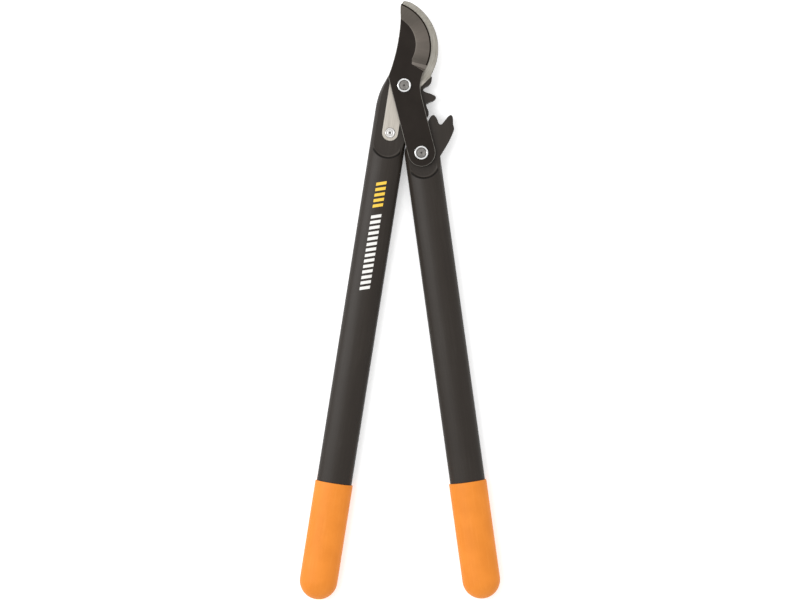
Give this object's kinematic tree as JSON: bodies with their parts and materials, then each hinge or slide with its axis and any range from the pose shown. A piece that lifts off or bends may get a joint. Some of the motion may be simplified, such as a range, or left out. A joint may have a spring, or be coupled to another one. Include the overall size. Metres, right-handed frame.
{
  "type": "geared bypass lopper",
  "caption": "Long-handled geared bypass lopper, shown closed: hollow oval handles with orange grips, a curved coated blade on a strap, a steel hook and meshing gear teeth.",
  "frame": {"origin": "centre of the closed tool's box, on the surface that it lies on", "axes": "+Y from the grips to the blade tip, +Z out of the blade side, +X to the right as seen from the blade side"},
  "size_m": [0.2316, 0.6908, 0.0293],
  "materials": {
    "handle_plastic": "dark glass-filled nylon, satin",
    "grip_plastic": "orange moulded grip, satin",
    "hook_steel": "ground steel",
    "blade_coat": "dark low-friction coating, satin",
    "bright_steel": "bright plated steel",
    "pin_steel": "riveted steel end, fine grain",
    "plated_steel": "dull plated steel",
    "washer_nylon": "natural nylon"
  },
  "bodies": {
    "left_handle": {"left_handle": "handle_plastic", "left_grip": "grip_plastic", "hook": "hook_steel", "hook_rivet": "bright_steel", "hook_rivet_washer": "plated_steel", "left_pivot_bush": "plated_steel"},
    "blade": {"blade": "blade_coat", "rear_link_plate": "blade_coat", "blade_pivot_pin": "pin_steel", "blade_pivot_collar": "bright_steel", "blade_pivot_front_washer": "washer_nylon", "blade_pivot_rear_washer": "washer_nylon", "gear_pivot_pin": "pin_steel", "gear_pivot_collar": "bright_steel", "gear_pivot_front_washer": "washer_nylon", "gear_pivot_rear_washer": "washer_nylon"},
    "right_handle": {"right_handle": "handle_plastic", "right_grip": "grip_plastic", "right_pivot_bush": "plated_steel"}
  },
  "joints": [
    {"name": "blade_pivot", "type": "hinge", "parent": "left_handle", "child": "blade", "pos_m": [0.00487, 0.24752, 0.0135], "axis": [0, 0, 1], "range_deg": [0, 55]},
    {"name": "gear_pivot", "type": "hinge", "parent": "blade", "child": "right_handle", "pos_m": [0.02463, 0.17, 0.0135], "axis": [0, 0, 1], "range_deg": [0, 46.75]}
  ],
  "couplings": [
    {"joint": "gear_pivot", "follows": "blade_pivot", "ratio": 0.85}
  ]
}
